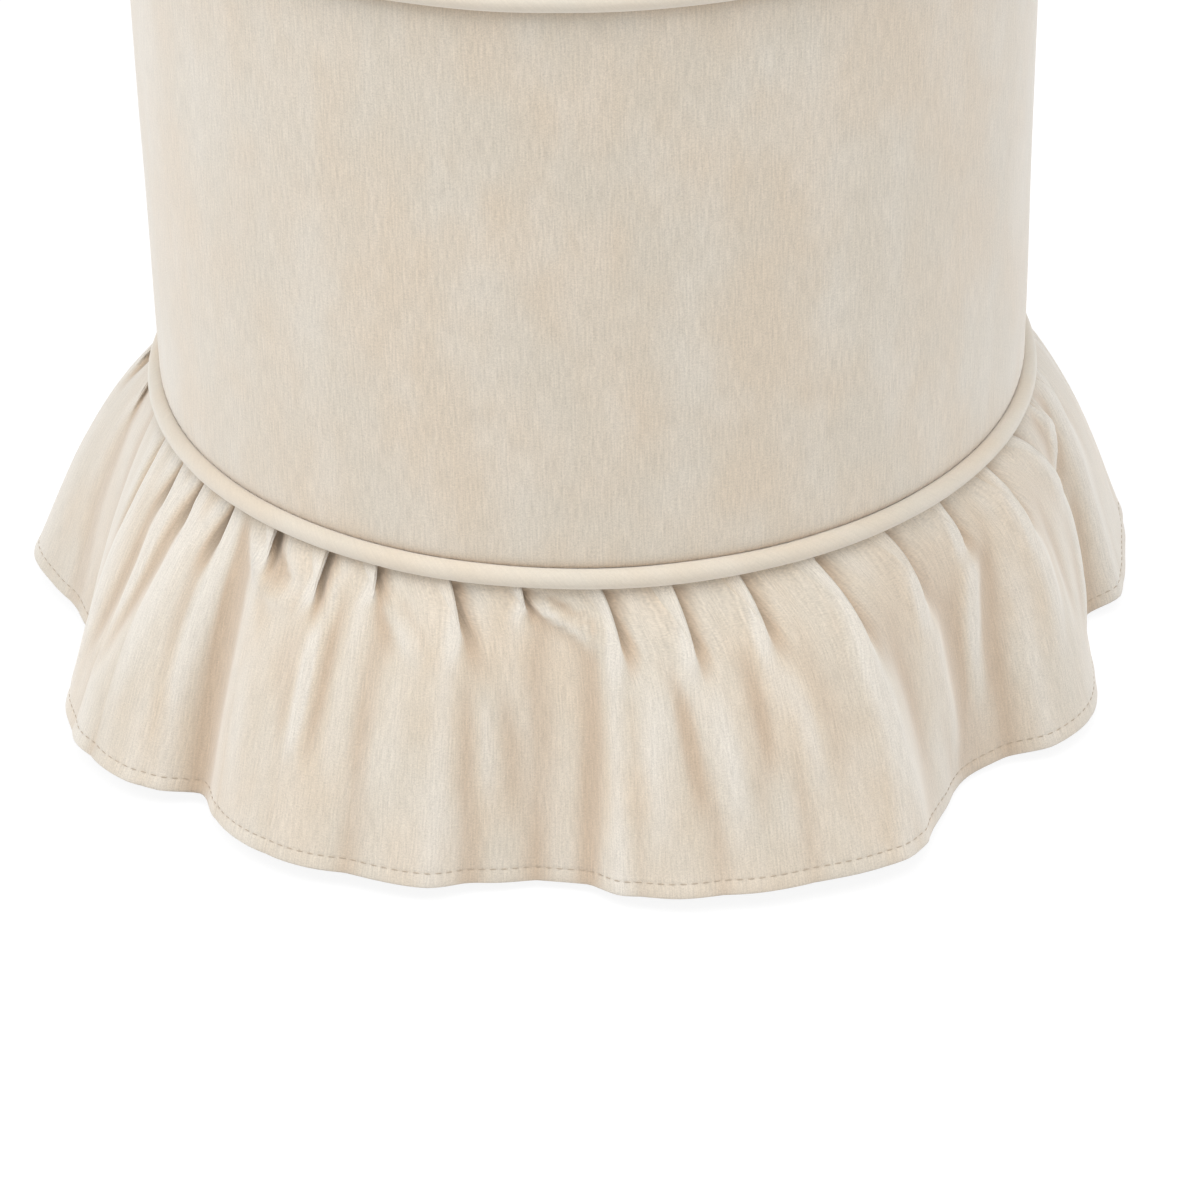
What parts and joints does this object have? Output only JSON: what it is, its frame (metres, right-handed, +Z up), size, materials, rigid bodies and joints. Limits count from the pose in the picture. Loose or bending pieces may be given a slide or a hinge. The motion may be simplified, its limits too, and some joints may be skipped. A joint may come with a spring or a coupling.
{
  "type": "pouf",
  "caption": "Round drum pouf with a crowned seat, piped seams and a tucked, flared skirt of ribbed velvet over a timber frame.",
  "frame": {"origin": "on the floor, on the drum's axis, which is the middle of the outline seen from above to within a few millimetres", "axes": "+Z up; -Y towards the front that the picture shows; +X to the viewer's right"},
  "size_m": [0.5319, 0.5141, 0.445],
  "materials": {
    "velvet": "matte",
    "bias_velvet": "matte",
    "lining_cloth": "matte",
    "wadding": "matte",
    "foam": "matte",
    "cotton_cord": "matte",
    "plywood": "matte",
    "pine": "matte",
    "fibreboard": "matte",
    "dust_cloth": "matte",
    "glide_plastic": "matte",
    "zinc_plate": "satin"
  },
  "bodies": {
    "root": {"base_board": "plywood", "upright_1": "pine", "upright_2": "pine", "upright_3": "pine", "upright_4": "pine", "upright_5": "pine", "upright_6": "pine", "seat_board": "plywood", "seat_board_screws": "zinc_plate", "base_board_screws": "zinc_plate", "drum_wall": "fibreboard", "side_wadding": "wadding", "seat_foam": "foam", "seat_wadding": "wadding", "seat_cover": "velvet", "side_cover": "velvet", "lower_band": "lining_cloth", "upper_welt_cord": "cotton_cord", "upper_welt_cover": "bias_velvet", "lower_welt_cord": "cotton_cord", "lower_welt_cover": "bias_velvet", "skirt": "velvet", "dust_cover": "dust_cloth", "glide_1": "glide_plastic", "glide_2": "glide_plastic", "glide_3": "glide_plastic", "glide_4": "glide_plastic", "glide_screws": "zinc_plate"}
  },
  "joints": []
}
